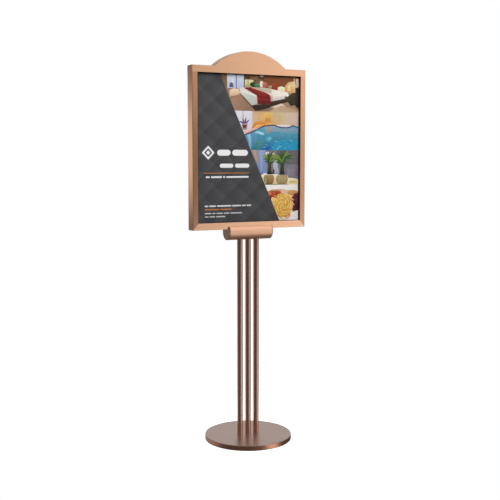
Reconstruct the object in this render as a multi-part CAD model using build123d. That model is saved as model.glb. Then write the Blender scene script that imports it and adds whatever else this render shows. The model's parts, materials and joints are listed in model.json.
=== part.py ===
from build123d import *
import os
from math import sqrt

os.makedirs("parts", exist_ok=True)

# A free-standing lobby sign stand. Millimetres, +Z up, the sign faces -Y.
# The origin is the centre of the base, on the floor.

# ---- driving dimensions -------------------------------------------------------
BASE_D = 350.0
BASE_H = 20.5
BASE_EDGE_R = 2.5
COVER_T = 1.2
COVER_LIFT = 1.0
PAD_T = 3.0
PAD_D = 28.0
PAD_RING_R = 150.0
PAD_COUNT = 6

TUBE_D = 22.0
TUBE_WALL = 1.5
TUBE_PITCH = 36.2
PLUG_L = 40.0

CLAMP_D = 67.0
CLAMP_WALL = 4.0
CLAMP_L = 190.7
CLAMP_Z = 847.0
CLAMP_END_T = 3.0
LIP_TOP_Z = 868.0

SIGN_W = 496.0
SIGN_H = 629.0
SIGN_D = 45.0
SIGN_Z = 857.5
STILE_W = 22.5
BOTTOM_W = 27.0
TOP_W = 26.0
SHEET_T = 1.5
BEND_R = 1.2
RETURN_D = 14.0
BACK_FLANGE = 14.0
ARCH_CHORD = 310.0
ARCH_RISE = 61.0

COVER_SHEET_T = 2.0
POSTER_T = 0.4
BOARD_T = 4.0
PACK_LAP = 7.0
BEAD_T = 1.2
BEAD_SETBACK = 2.0

DOOR_T = 1.5
DOOR_FOLD = 10.0
DOOR_GAP = 1.5
HINGE_L = 60.0
KNUCKLE_R = 3.0
PIN_R = 1.5
PIN_CLEARANCE = 0.05
LEAF_T = 1.2
LEAF_W = 11.0

# ---- derived dimensions ---------------------------------------------------------
CLEAR = 0.1
WEIGHT_D = BASE_D - 2 * COVER_T - 1.0
WEIGHT_TOP = BASE_H - COVER_T
TUBE_X = {"left": -TUBE_PITCH, "centre": 0.0, "right": TUBE_PITCH}
TUBE_BORE_R = TUBE_D / 2 - TUBE_WALL
CLAMP_R = CLAMP_D / 2
CLAMP_IN_R = CLAMP_R - CLAMP_WALL
CLAMP_TUBE_L = CLAMP_L - 2 * CLAMP_END_T
CLAMP_FLOOR_Z = CLAMP_Z - CLAMP_IN_R
SLOT_HALF = SIGN_D / 2 + 0.3
FRONT_Y = -SIGN_D / 2
BACK_Y = SIGN_D / 2
LEFT_X = -SIGN_W / 2
RIGHT_X = SIGN_W / 2
SIGN_TOP = SIGN_Z + SIGN_H
OPEN_LEFT = LEFT_X + STILE_W
OPEN_RIGHT = RIGHT_X - STILE_W
OPEN_BOTTOM = SIGN_Z + BOTTOM_W
OPEN_TOP = SIGN_TOP - TOP_W
ARCH_R = (ARCH_CHORD ** 2 / 4 + ARCH_RISE ** 2) / (2 * ARCH_RISE)
ARCH_Z = SIGN_TOP + ARCH_RISE - ARCH_R
PACK_Y = FRONT_Y + RETURN_D
BACK_OPEN_LEFT = LEFT_X + BACK_FLANGE
BACK_OPEN_RIGHT = RIGHT_X - BACK_FLANGE
BACK_OPEN_BOTTOM = SIGN_Z + BACK_FLANGE
BACK_OPEN_TOP = SIGN_TOP - BACK_FLANGE
HINGE_X = BACK_OPEN_LEFT + DOOR_GAP / 2
HINGE_Y = BACK_Y + KNUCKLE_R
DOOR_LEFT = BACK_OPEN_LEFT + DOOR_GAP
DOOR_RIGHT = BACK_OPEN_RIGHT - DOOR_GAP
DOOR_BOTTOM = BACK_OPEN_BOTTOM + DOOR_GAP
DOOR_TOP = BACK_OPEN_TOP - DOOR_GAP
HINGE_Z = {"lower": SIGN_Z + 110.0, "upper": SIGN_TOP - 110.0}
MIN3 = (Align.MIN, Align.MIN, Align.MIN)


# ---- helpers ------------------------------------------------------------------
def save(name, *solids):
    """Write one node; several solids stay separate inside it."""
    shape = solids[0] if len(solids) == 1 else Compound(children=list(solids))
    export_step(shape, f"parts/{name}.step")


def block(x0, x1, y0, y1, z0, z1):
    """An axis-aligned block from its limits."""
    return Pos(x0, y0, z0) * Box(x1 - x0, y1 - y0, z1 - z0, align=MIN3)


def rod_z(radius, z0, z1, x=0.0, y=0.0):
    """A cylinder along Z."""
    align = (Align.CENTER, Align.CENTER, Align.MIN)
    return Pos(x, y, z0) * Cylinder(radius, z1 - z0, align=align)


def rod_y(radius, y0, y1, x, z):
    """A cylinder along Y."""
    align = (Align.CENTER, Align.CENTER, Align.MIN)
    return Pos(x, y0, z) * Rot(-90, 0, 0) * Cylinder(radius, y1 - y0, align=align)


def rod_x(radius, x0, x1, y, z):
    """A cylinder along X."""
    align = (Align.CENTER, Align.CENTER, Align.MIN)
    return Pos(x0, y, z) * Rot(0, 90, 0) * Cylinder(radius, x1 - x0, align=align)


def upright_plate(points, y0, y1):
    """A plate of a polygonal outline in XZ, from y0 to y1."""
    face = make_face(Polyline(*[(x, -z) for x, z in points], close=True))
    return Pos(0, y0, 0) * (Rot(-90, 0, 0) * extrude(face, y1 - y0))


def single(shape):
    """The one solid of a boolean's result."""
    return shape.solids()[0]


# ---- base ---------------------------------------------------------------------
PAD_PLACES = PolarLocations(PAD_RING_R, PAD_COUNT)
BOLT_R = 5.0
BOLT_HOLE_R = 5.5
BOLT_HEAD_R = 8.0
BOLT_HEAD_H = 6.0
WASHER_R = 9.0
WASHER_T = 1.6
COUNTERBORE_R = 9.5
COUNTERBORE_H = 11.0
WEIGHT_BOTTOM = PAD_T
SEAT_Z = WEIGHT_BOTTOM + COUNTERBORE_H


def base_cover():
    """Spun cover: a shallow cup over the weight, open below, pierced for the post bolts."""
    disc = rod_z(BASE_D / 2, COVER_LIFT, BASE_H)
    disc = fillet(disc.edges().group_by(Axis.Z)[-1], BASE_EDGE_R)
    cup = disc - rod_z(BASE_D / 2 - COVER_T, COVER_LIFT, BASE_H - COVER_T)
    for x in TUBE_X.values():
        cup = cup - rod_z(BOLT_HOLE_R, BASE_H - 2 * COVER_T, BASE_H + 1, x)
    return single(cup)


def base_weight():
    """Cast disc that fills the cover, counterbored from below for the bolts."""
    disc = rod_z(WEIGHT_D / 2, WEIGHT_BOTTOM, WEIGHT_TOP)
    disc = fillet(disc.edges().group_by(Axis.Z)[-1], BASE_EDGE_R)
    for x in TUBE_X.values():
        disc = disc - rod_z(BOLT_HOLE_R, WEIGHT_BOTTOM, WEIGHT_TOP, x)
        disc = disc - rod_z(COUNTERBORE_R, WEIGHT_BOTTOM, SEAT_Z, x)
    return single(disc)


def base_bolt(x):
    """Low-head socket bolt from below, into a post's foot plug."""
    head_top = SEAT_Z - WASHER_T
    head = rod_z(BOLT_HEAD_R, head_top - BOLT_HEAD_H, head_top, x)
    shank = rod_z(BOLT_R, head_top, BASE_H + PLUG_L * 0.6, x)
    socket = rod_z(BOLT_R * 0.8, head_top - BOLT_HEAD_H, head_top - BOLT_HEAD_H / 2, x)
    return single(head + shank - socket)


def base_washer(x):
    """Plain washer under a base bolt's head."""
    ring = rod_z(WASHER_R, SEAT_Z - WASHER_T, SEAT_Z, x) - rod_z(BOLT_HOLE_R, 0, BASE_H, x)
    return single(ring)


save("base_cover", base_cover())
save("base_weight", base_weight())
save("base_pads", *[place * rod_z(PAD_D / 2, 0, PAD_T) for place in PAD_PLACES])
save("base_bolts", *[base_bolt(x) for x in TUBE_X.values()])
save("base_washers", *[base_washer(x) for x in TUBE_X.values()])

# ---- posts --------------------------------------------------------------------
HEAD_BOLT_R = 4.0
COPE = rod_x(CLAMP_R + CLEAR, -CLAMP_L, CLAMP_L, 0, CLAMP_Z)


def post(x):
    """Round tube from the base to the clamp, its top coped to the clamp's round underside."""
    tube = rod_z(TUBE_D / 2, BASE_H, CLAMP_Z, x) - rod_z(TUBE_BORE_R, 0, CLAMP_Z, x)
    return (tube - COPE).solids().sort_by(Axis.Z)[0]


def foot_plug(x):
    """Threaded plug pressed into a post's lower end."""
    plug = rod_z(TUBE_BORE_R - CLEAR, BASE_H, BASE_H + PLUG_L, x)
    return single(plug - rod_z(BOLT_R + CLEAR, BASE_H, BASE_H + PLUG_L * 0.75, x))


def head_plug(x):
    """Threaded plug pressed into a post's upper end, coped with it."""
    z0 = CLAMP_Z - CLAMP_R - PLUG_L
    plug = rod_z(TUBE_BORE_R - CLEAR, z0, CLAMP_Z, x) - rod_z(HEAD_BOLT_R + CLEAR, z0 + 6, CLAMP_Z, x)
    return (plug - COPE).solids().sort_by(Axis.Z)[0]


for side, post_x in TUBE_X.items():
    save(f"tube_{side}", post(post_x))
    save(f"foot_plug_{side}", foot_plug(post_x))
    save(f"head_plug_{side}", head_plug(post_x))

# ---- clamp --------------------------------------------------------------------
SADDLE_PLATE_HALF = 26.5
SADDLE_PLATE_T = 5.0
SADDLE_LEG_Y = 15.0
SADDLE_LEG_T = 4.0
SADDLE_L = CLAMP_TUBE_L - 1.0
CLAMP_WASHER = 18.0
CLAMP_WASHER_T = 4.0
CLAMP_HEAD_R = 6.5
CLAMP_HEAD_H = 8.0
CLAMP_SEAT_Z = CLAMP_FLOOR_Z + CLAMP_WASHER_T
SIGN_BOLT_X = 60.0
SIGN_BOLT_R = 3.0
SIGN_BOLT_HEAD_R = 5.0
SIGN_BOLT_HEAD_H = 4.0
SIGN_SLOT = block(-CLAMP_L, CLAMP_L, -SLOT_HALF, SLOT_HALF, SIGN_Z - 0.2, CLAMP_Z + CLAMP_D)
ABOVE_LIPS = block(-CLAMP_L, CLAMP_L, -CLAMP_D, CLAMP_D, LIP_TOP_Z, CLAMP_Z + CLAMP_D)


def clamp_tube():
    """Thick round tube, slotted along its top so that its lips hug the sign's faces."""
    half = CLAMP_TUBE_L / 2
    tube = rod_x(CLAMP_R, -half, half, 0, CLAMP_Z) - rod_x(CLAMP_IN_R, -half, half, 0, CLAMP_Z)
    tube = tube - SIGN_SLOT - ABOVE_LIPS
    for x in TUBE_X.values():
        tube = tube - rod_z(HEAD_BOLT_R + 0.5, CLAMP_Z - CLAMP_D, CLAMP_Z, x)
    return single(tube)


def clamp_end(direction):
    """Flat disc that closes one end of the clamp, notched for the sign."""
    inner = direction * CLAMP_TUBE_L / 2
    outer = direction * CLAMP_L / 2
    disc = rod_x(CLAMP_R, min(inner, outer), max(inner, outer), 0, CLAMP_Z)
    return single(disc - SIGN_SLOT - ABOVE_LIPS)


def clamp_saddle():
    """Extruded channel inside the clamp: the sign's bottom rail stands on it and is bolted to it."""
    half = SADDLE_L / 2
    plate = block(-half, half, -SADDLE_PLATE_HALF, SADDLE_PLATE_HALF, SIGN_Z - SADDLE_PLATE_T, SIGN_Z)
    saddle = plate
    for side in (-1, 1):
        y0 = side * SADDLE_LEG_Y - SADDLE_LEG_T / 2
        saddle = saddle + block(-half, half, y0, y0 + SADDLE_LEG_T, CLAMP_FLOOR_Z, SIGN_Z - SADDLE_PLATE_T)
    saddle = saddle & rod_x(CLAMP_IN_R - CLEAR, -half, half, 0, CLAMP_Z)
    for x in (-SIGN_BOLT_X, SIGN_BOLT_X):
        saddle = saddle - rod_z(SIGN_BOLT_R + CLEAR, CLAMP_Z, SIGN_Z, x)
    return single(saddle)


def clamp_washer(x):
    """Block washer, flat above and round below to fit the inside of the tube."""
    half = CLAMP_WASHER / 2
    washer = block(x - half, x + half, -half, half, CLAMP_FLOOR_Z, CLAMP_SEAT_Z)
    washer = washer & rod_x(CLAMP_IN_R - CLEAR / 2, -CLAMP_L, CLAMP_L, 0, CLAMP_Z)
    return single(washer - rod_z(HEAD_BOLT_R + 0.5, CLAMP_FLOOR_Z - 1, CLAMP_SEAT_Z, x))


def clamp_bolt(x):
    """Socket-head bolt from inside the clamp, down into a post's head plug."""
    head = rod_z(CLAMP_HEAD_R, CLAMP_SEAT_Z, CLAMP_SEAT_Z + CLAMP_HEAD_H, x)
    shank = rod_z(HEAD_BOLT_R, CLAMP_SEAT_Z - 32, CLAMP_SEAT_Z, x)
    socket = rod_z(HEAD_BOLT_R * 0.8, CLAMP_SEAT_Z + CLAMP_HEAD_H / 2, CLAMP_SEAT_Z + CLAMP_HEAD_H, x)
    return single(head + shank - socket)


def sign_bolt(x):
    """Button-head bolt through the floor of the bottom rail into the saddle."""
    seat = SIGN_Z + SHEET_T
    head = rod_z(SIGN_BOLT_HEAD_R, seat, seat + SIGN_BOLT_HEAD_H, x)
    return single(head + rod_z(SIGN_BOLT_R, SIGN_Z - SADDLE_PLATE_T, seat, x))


save("clamp_tube", clamp_tube())
save("clamp_end_left", clamp_end(-1))
save("clamp_end_right", clamp_end(1))
save("clamp_saddle", clamp_saddle())
save("clamp_washers", *[clamp_washer(x) for x in TUBE_X.values()])
save("clamp_bolts", *[clamp_bolt(x) for x in TUBE_X.values()])
save("sign_bolts", *[sign_bolt(x) for x in (-SIGN_BOLT_X, SIGN_BOLT_X)])

# ---- sign frame ---------------------------------------------------------------
MITRE_GAP = 0.05
RETURN_LAP = 14.0
RETURN_FLANGE = 10.0


def folded_section(width):
    """Folded sheet section: outer edge at u=0, inner edge at u=width, front at v=0, back at v=SIGN_D."""
    outline = Pos(width / 2, SIGN_D / 2) * Rectangle(width, SIGN_D)
    outline = fillet(outline.vertices(), BEND_R)
    inside_w = width - 2 * SHEET_T
    inside_d = SIGN_D - 2 * SHEET_T
    hollow = Pos(width / 2, SIGN_D / 2) * Rectangle(inside_w, inside_d)
    open_u = width - BACK_FLANGE
    side_gap = Pos(width - SHEET_T, (RETURN_D + SIGN_D) / 2) * Rectangle(2 * SHEET_T, SIGN_D - RETURN_D)
    back_gap = Pos(BACK_FLANGE + open_u / 2, SIGN_D) * Rectangle(open_u, 4 * SHEET_T)
    return outline - hollow - side_gap - back_gap


def mitre_edge(direction, offset):
    """The bottom corner's mitre line, from beyond the outer corner to beyond the inner one."""
    length = sqrt(STILE_W ** 2 + BOTTOM_W ** 2)
    ux = STILE_W / length
    uz = BOTTOM_W / length
    reach = 8.0
    x_out = LEFT_X - reach * ux - offset * uz
    z_out = SIGN_Z - reach * uz + offset * ux
    x_in = OPEN_LEFT + reach * ux - offset * uz
    z_in = OPEN_BOTTOM + reach * uz + offset * ux
    return [(-direction * x_out, z_out), (-direction * x_in, z_in)]


def stile(direction):
    """Side member: mitred at the bottom, square under the header at the top."""
    origin = (direction * SIGN_W / 2, FRONT_Y, SIGN_Z)
    plane = Plane(origin=origin, x_dir=(-direction, 0, 0), z_dir=(0, 0, -direction))
    section = plane * folded_section(STILE_W)
    length = OPEN_TOP - SIGN_Z - MITRE_GAP
    member = extrude(section, length, dir=(0, 0, 1))
    low, high = mitre_edge(direction, MITRE_GAP)
    wedge = upright_plate([low, high, (high[0], low[1])], FRONT_Y - 1, BACK_Y + 1)
    return (member - wedge).solids().sort_by(Axis.Z)[-1]


def bottom_rail():
    """Bottom member, mitred at both ends, with two holes for the sign bolts."""
    plane = Plane(origin=(LEFT_X, FRONT_Y, SIGN_Z), x_dir=(0, 0, 1), z_dir=(-1, 0, 0))
    member = extrude(plane * folded_section(BOTTOM_W), SIGN_W, dir=(1, 0, 0))
    for direction in (-1, 1):
        low, high = mitre_edge(direction, -MITRE_GAP)
        wedge = upright_plate([low, high, (low[0], high[1])], FRONT_Y - 1, BACK_Y + 1)
        member = member - wedge
    for x in (-SIGN_BOLT_X, SIGN_BOLT_X):
        member = member - rod_z(SIGN_BOLT_R + 0.3, SIGN_Z - 1, SIGN_Z + 3, x)
    return single(member)


def header_outline(inset, bottom):
    """The header's face in XZ: a straight shoulder each side and the arch between them."""
    top = SIGN_TOP - inset
    radius = ARCH_R - inset
    half = SIGN_W / 2 - inset
    foot = sqrt(radius ** 2 - (top - ARCH_Z) ** 2)
    crown = (0, ARCH_Z + radius)
    left = Line((-half, bottom), (-half, top))
    left_shoulder = Line((-half, top), (-foot, top))
    arch = ThreePointArc((-foot, top), crown, (foot, top))
    right_shoulder = Line((foot, top), (half, top))
    right = Line((half, top), (half, bottom))
    base = Line((half, bottom), (-half, bottom))
    return make_face(Curve() + [left, left_shoulder, arch, right_shoulder, right, base])


def header_plate(inset, bottom, y0, y1):
    """An upright plate of the header's outline."""
    plane = Plane(origin=(0, y0, 0), x_dir=(1, 0, 0), z_dir=(0, -1, 0))
    return extrude(plane * header_outline(inset, bottom), y1 - y0, dir=(0, 1, 0))


def header_front():
    """One-piece front of the top rail and arch, its outer edges eased."""
    plate = header_plate(0, OPEN_TOP, FRONT_Y, FRONT_Y + SHEET_T)
    front_edges = plate.faces().sort_by(Axis.Y)[0].edges()
    outer_edges = front_edges.filter_by(lambda edge: edge.center().Z > OPEN_TOP + CLEAR)
    return single(fillet(outer_edges, BEND_R))


def header_rim():
    """Strip bent round the header's sides, shoulders and arch, behind its front plate."""
    y0 = FRONT_Y + SHEET_T
    rim = header_plate(0, OPEN_TOP, y0, BACK_Y)
    return single(rim - header_plate(SHEET_T, OPEN_TOP - 1, y0 - 1, BACK_Y + 1))


def header_return():
    """Inner fold at the top of the opening, with the flange that meets the front plate."""
    y0 = FRONT_Y + SHEET_T
    x0 = OPEN_LEFT - RETURN_LAP
    ledge = block(x0, -x0, y0, PACK_Y, OPEN_TOP, OPEN_TOP + SHEET_T)
    flange = block(x0, -x0, y0, y0 + SHEET_T, OPEN_TOP + SHEET_T, OPEN_TOP + RETURN_FLANGE)
    return single(ledge + flange)


def header_back():
    """Back plate of the arch: the flange above the rear door, with an ear down to each stile."""
    inset = SHEET_T + CLEAR
    half = SIGN_W / 2 - BACK_FLANGE
    plate = header_plate(inset, OPEN_TOP, BACK_Y - SHEET_T, BACK_Y)
    doorway = block(-half, half, BACK_Y - SHEET_T - 1, BACK_Y + 1, OPEN_TOP - 1, BACK_OPEN_TOP)
    return single(plate - doorway)


BRACKET_LEG = 45.0
BRACKET_T = 3.0
BRACKET_W = 12.0
BRACKET_Y = FRONT_Y + SHEET_T + 4.5
BRACKET_HOLES = (18.0, 36.0)


def corner_bracket(side_x, side_z):
    """Angle bracket inside a corner of the frame, against the outer walls."""
    x_wall = side_x * (SIGN_W / 2 - SHEET_T - CLEAR)
    z_wall = SIGN_Z + SHEET_T + CLEAR if side_z < 0 else SIGN_TOP - SHEET_T - CLEAR
    x_in = x_wall - side_x * BRACKET_LEG
    x_thin = x_wall - side_x * BRACKET_T
    z_in = z_wall - side_z * BRACKET_LEG
    z_thin = z_wall - side_z * BRACKET_T
    y1 = BRACKET_Y + BRACKET_W
    z_span = sorted((z_wall, z_in))
    x_span = sorted((x_wall, x_in))
    post_leg = block(*sorted((x_wall, x_thin)), BRACKET_Y, y1, *z_span)
    rail_leg = block(*x_span, BRACKET_Y, y1, *sorted((z_wall, z_thin)))
    return single(post_leg + rail_leg)


def bracket_rivets(side_x, side_z):
    """Blind rivet heads on the bracket's inner faces, their shanks ending at the frame's wall."""
    rivets = []
    y = BRACKET_Y + BRACKET_W / 2
    x_face = side_x * (SIGN_W / 2 - SHEET_T - CLEAR - BRACKET_T)
    z_face = SIGN_Z + SHEET_T + CLEAR + BRACKET_T
    if side_z > 0:
        z_face = SIGN_TOP - SHEET_T - CLEAR - BRACKET_T
    for reach in BRACKET_HOLES:
        z = z_face - side_z * reach
        x_head = x_face - side_x * 1.5
        rivets.append(rod_x(3.2, min(x_face, x_head), max(x_face, x_head), y, z))
        x = x_face - side_x * reach
        z_head = z_face - side_z * 1.5
        rivets.append(rod_z(3.2, min(z_face, z_head), max(z_face, z_head), x, y))
    return rivets


save("stile_left", stile(-1))
save("stile_right", stile(1))
save("bottom_rail", bottom_rail())
save("header_front", header_front())
save("header_rim", header_rim())
save("header_return", header_return())
save("header_back", header_back())

CORNERS = {"lower_left": (-1, -1), "lower_right": (1, -1), "upper_left": (-1, 1), "upper_right": (1, 1)}
all_rivets = []
for corner, (side_x, side_z) in CORNERS.items():
    save(f"corner_bracket_{corner}", corner_bracket(side_x, side_z))
    all_rivets += bracket_rivets(side_x, side_z)
save("bracket_rivets", *all_rivets)

# ---- picture pack -------------------------------------------------------------
PACK_LEFT = OPEN_LEFT - PACK_LAP
PACK_RIGHT = OPEN_RIGHT + PACK_LAP
PACK_BOTTOM = OPEN_BOTTOM - PACK_LAP
PACK_TOP = OPEN_TOP + PACK_LAP
COVER_BACK = PACK_Y + COVER_SHEET_T
POSTER_BACK = COVER_BACK + POSTER_T
BOARD_BACK = POSTER_BACK + BOARD_T
CLIP_W = 16.0
CLIP_T = 1.0
CLIP_REACH = 12.0
CLIP_Z = (SIGN_Z + 170.0, SIGN_Z + SIGN_H / 2, SIGN_TOP - 170.0)


def pack_sheet(y0, y1):
    """A sheet of the picture pack, lapping behind the frame's inner return all round."""
    return block(PACK_LEFT, PACK_RIGHT, y0, y1, PACK_BOTTOM, PACK_TOP)


def glazing_bead(x0, x1, z0, z1):
    """Black strip that lines one side of the opening, between the frame's front and the clear cover."""
    return block(x0, x1, FRONT_Y + BEAD_SETBACK, PACK_Y, z0, z1)


def board_clip(direction, z):
    """Spring clip on a stile's outer wall that holds the backing board forward."""
    wall = direction * (SIGN_W / 2 - SHEET_T)
    foot = wall - direction * CLIP_T
    tip = wall - direction * (STILE_W - SHEET_T + CLIP_REACH)
    y0 = BOARD_BACK
    z0 = z - CLIP_W / 2
    z1 = z + CLIP_W / 2
    arm = block(min(wall, tip), max(wall, tip), y0, y0 + CLIP_T, z0, z1)
    leg = block(min(wall, foot), max(wall, foot), y0, y0 + 10, z0, z1)
    return single(arm + leg)


save("glazing_bead_left", glazing_bead(OPEN_LEFT, OPEN_LEFT + BEAD_T, OPEN_BOTTOM, OPEN_TOP))
save("glazing_bead_right", glazing_bead(OPEN_RIGHT - BEAD_T, OPEN_RIGHT, OPEN_BOTTOM, OPEN_TOP))
bead_x = OPEN_RIGHT - BEAD_T
save("glazing_bead_bottom", glazing_bead(-bead_x, bead_x, OPEN_BOTTOM, OPEN_BOTTOM + BEAD_T))
save("glazing_bead_top", glazing_bead(-bead_x, bead_x, OPEN_TOP - BEAD_T, OPEN_TOP))
save("clear_cover", pack_sheet(PACK_Y, COVER_BACK))
save("poster_sheet", pack_sheet(COVER_BACK, POSTER_BACK))
save("backing_board", pack_sheet(POSTER_BACK, BOARD_BACK))
save("board_clips", *[board_clip(d, z) for d in (-1, 1) for z in CLIP_Z])

# ---- rear door ----------------------------------------------------------------
KNUCKLE_GAP = 0.3
KNOB_R = 7.0
KNOB_H = 9.0
KNOB_X = DOOR_RIGHT - 26.0
DOOR_MID_Z = (DOOR_BOTTOM + DOOR_TOP) / 2
MAGNET_Z = (SIGN_Z + 130.0, SIGN_TOP - 130.0)
MAGNET_L = 36.0
MAGNET_X0 = DOOR_RIGHT - 11.0
MAGNET_GAP = 0.3
PLATE_T = 1.0
DOOR_INNER_Y = BACK_Y - DOOR_T


def rear_door():
    """Sheet door, inset flush in the frame's back, with all four edges folded forward."""
    y0 = BACK_Y - DOOR_FOLD
    tray = block(DOOR_LEFT, DOOR_RIGHT, y0, BACK_Y, DOOR_BOTTOM, DOOR_TOP)
    x0 = DOOR_LEFT + DOOR_T
    x1 = DOOR_RIGHT - DOOR_T
    inside = block(x0, x1, y0, DOOR_INNER_Y, DOOR_BOTTOM + DOOR_T, DOOR_TOP - DOOR_T)
    return single(tray - inside)


def hinge_barrel(z0, z1):
    """A hinge knuckle, bored for the pin."""
    bore = rod_z(PIN_R + PIN_CLEARANCE, z0 - 1, z1 + 1, HINGE_X, HINGE_Y)
    return rod_z(KNUCKLE_R, z0, z1, HINGE_X, HINGE_Y) - bore


def hinge_leaf(direction, z0, z1):
    """A hinge leaf on the frame's or the door's back, up to the pin's line, bored clear of the pin."""
    inner = HINGE_X + direction * 0.4
    outer = HINGE_X + direction * LEAF_W
    return block(min(inner, outer), max(inner, outer), BACK_Y, BACK_Y + LEAF_T, z0, z1)


def hinge_thirds(z):
    """The heights that divide a hinge into its three knuckles."""
    z0 = z - HINGE_L / 2
    step = HINGE_L / 3
    return [z0, z0 + step, z0 + 2 * step, z0 + 3 * step]


def frame_leaf(z):
    """Leaf fixed to the stile, with the upper and lower knuckles."""
    a, b, c, d = hinge_thirds(z)
    leaf = hinge_leaf(-1, a, d)
    leaf = leaf + hinge_barrel(a, b - KNUCKLE_GAP) + hinge_barrel(c + KNUCKLE_GAP, d)
    bore = rod_z(PIN_R + PIN_CLEARANCE, a - 1, d + 1, HINGE_X, HINGE_Y)
    swing = rod_z(KNUCKLE_R + KNUCKLE_GAP, b - KNUCKLE_GAP, c + KNUCKLE_GAP, HINGE_X, HINGE_Y)
    return single(leaf - bore - swing)


def door_leaf(z):
    """Leaf fixed to the door, with the middle knuckle."""
    a, b, c, d = hinge_thirds(z)
    leaf = hinge_leaf(1, a, d) + hinge_barrel(b, c)
    bore = rod_z(PIN_R + PIN_CLEARANCE, a - 1, d + 1, HINGE_X, HINGE_Y)
    below = rod_z(KNUCKLE_R + KNUCKLE_GAP, a - 1, b, HINGE_X, HINGE_Y)
    above = rod_z(KNUCKLE_R + KNUCKLE_GAP, c, d + 1, HINGE_X, HINGE_Y)
    return single(leaf - bore - below - above)


def hinge_pin(z):
    """Hinge pin, with a small head at its upper end."""
    a, _, _, d = hinge_thirds(z)
    pin = rod_z(PIN_R, a - 1.2, d + 1.2, HINGE_X, HINGE_Y)
    return single(pin + rod_z(KNUCKLE_R - 0.6, d + 0.05, d + 1.2, HINGE_X, HINGE_Y))


def hinge_screw(direction, z):
    """Low head of a screw holding a hinge leaf; its shank in the sheet is left out."""
    x = HINGE_X + direction * (LEAF_W - 3.8)
    return rod_y(1.9, BACK_Y + LEAF_T, BACK_Y + LEAF_T + 0.8, x, z)


def door_knob():
    """Turned knob with a waist, for pulling the door open."""
    neck = rod_y(KNOB_R * 0.55, BACK_Y, BACK_Y + KNOB_H * 0.5, KNOB_X, DOOR_MID_Z)
    head = rod_y(KNOB_R, BACK_Y + KNOB_H * 0.45, BACK_Y + KNOB_H, KNOB_X, DOOR_MID_Z)
    head = fillet(head.edges(), 1.2)
    return single(neck + head)


def magnet(z):
    """Block magnet on the right-hand stile's outer wall, just inside the door's fold."""
    y1 = BACK_Y - DOOR_FOLD - PLATE_T - MAGNET_GAP
    return block(MAGNET_X0, RIGHT_X - SHEET_T, BOARD_BACK + 3, y1, z - MAGNET_L / 2, z + MAGNET_L / 2)


def catch_plate(z):
    """Steel plate on the end of the door's fold, facing its magnet."""
    y1 = BACK_Y - DOOR_FOLD
    return block(MAGNET_X0, DOOR_RIGHT, y1 - PLATE_T, y1, z - MAGNET_L / 2, z + MAGNET_L / 2)


HINGE_SCREW_RISE = (-20.0, 0.0, 20.0)
for name, hinge_z in HINGE_Z.items():
    save(f"hinge_frame_leaf_{name}", frame_leaf(hinge_z))
    save(f"hinge_door_leaf_{name}", door_leaf(hinge_z))
    save(f"hinge_pin_{name}", hinge_pin(hinge_z))

SCREW_Z = [hinge_z + rise for hinge_z in HINGE_Z.values() for rise in HINGE_SCREW_RISE]
save("hinge_screws_frame", *[hinge_screw(-1, z) for z in SCREW_Z])
save("hinge_screws_door", *[hinge_screw(1, z) for z in SCREW_Z])
save("rear_door", rear_door())
save("door_knob", door_knob())
save("door_magnets", *[magnet(z) for z in MAGNET_Z])
save("catch_plates", *[catch_plate(z) for z in MAGNET_Z])

PAD_SIZE = 24.0
PAD_X = (DOOR_LEFT + 90.0, DOOR_RIGHT - 90.0)
PAD_Z = (DOOR_BOTTOM + 90.0, DOOR_TOP - 90.0)
PAD_FRONT = BOARD_BACK + 0.4
save("door_pads", *[
    block(x - PAD_SIZE / 2, x + PAD_SIZE / 2, PAD_FRONT, DOOR_INNER_Y, z - PAD_SIZE / 2, z + PAD_SIZE / 2)
    for x in PAD_X for z in PAD_Z
])
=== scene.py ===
import json
import math
from collections import namedtuple

import bpy
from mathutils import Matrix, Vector, noise
from mathutils.geometry import delaunay_2d_cdt


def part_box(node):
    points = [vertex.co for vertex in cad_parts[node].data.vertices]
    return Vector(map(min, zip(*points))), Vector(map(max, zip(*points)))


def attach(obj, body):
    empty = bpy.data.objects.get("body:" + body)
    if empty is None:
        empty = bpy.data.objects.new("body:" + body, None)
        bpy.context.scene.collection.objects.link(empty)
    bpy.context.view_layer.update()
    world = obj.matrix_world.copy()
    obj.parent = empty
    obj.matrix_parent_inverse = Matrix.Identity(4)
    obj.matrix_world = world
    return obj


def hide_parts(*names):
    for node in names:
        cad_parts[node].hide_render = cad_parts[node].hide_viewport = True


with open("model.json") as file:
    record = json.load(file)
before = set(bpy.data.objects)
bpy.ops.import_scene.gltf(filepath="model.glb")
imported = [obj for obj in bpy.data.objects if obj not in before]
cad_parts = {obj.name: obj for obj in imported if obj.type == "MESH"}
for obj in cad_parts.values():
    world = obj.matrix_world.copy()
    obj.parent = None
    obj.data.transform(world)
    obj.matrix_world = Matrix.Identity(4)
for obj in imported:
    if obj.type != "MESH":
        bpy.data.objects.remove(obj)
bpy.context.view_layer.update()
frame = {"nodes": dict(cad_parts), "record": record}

# Lobby sign stand: brushed bronze steel round a printed poster. Metres, the sign faces -Y.

MM = 0.001


def srgb(r, g, b):
    """An 8-bit sRGB colour as linear RGBA."""
    def linear(value):
        value = value / 255
        return value / 12.92 if value <= 0.04045 else ((value + 0.055) / 1.055) ** 2.4
    return (linear(r), linear(g), linear(b), 1.0)


def shaded(colour, factor):
    """A linear colour made darker or lighter, at most white."""
    return tuple(min(1, c * factor) for c in colour[:3]) + (1,)


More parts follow.
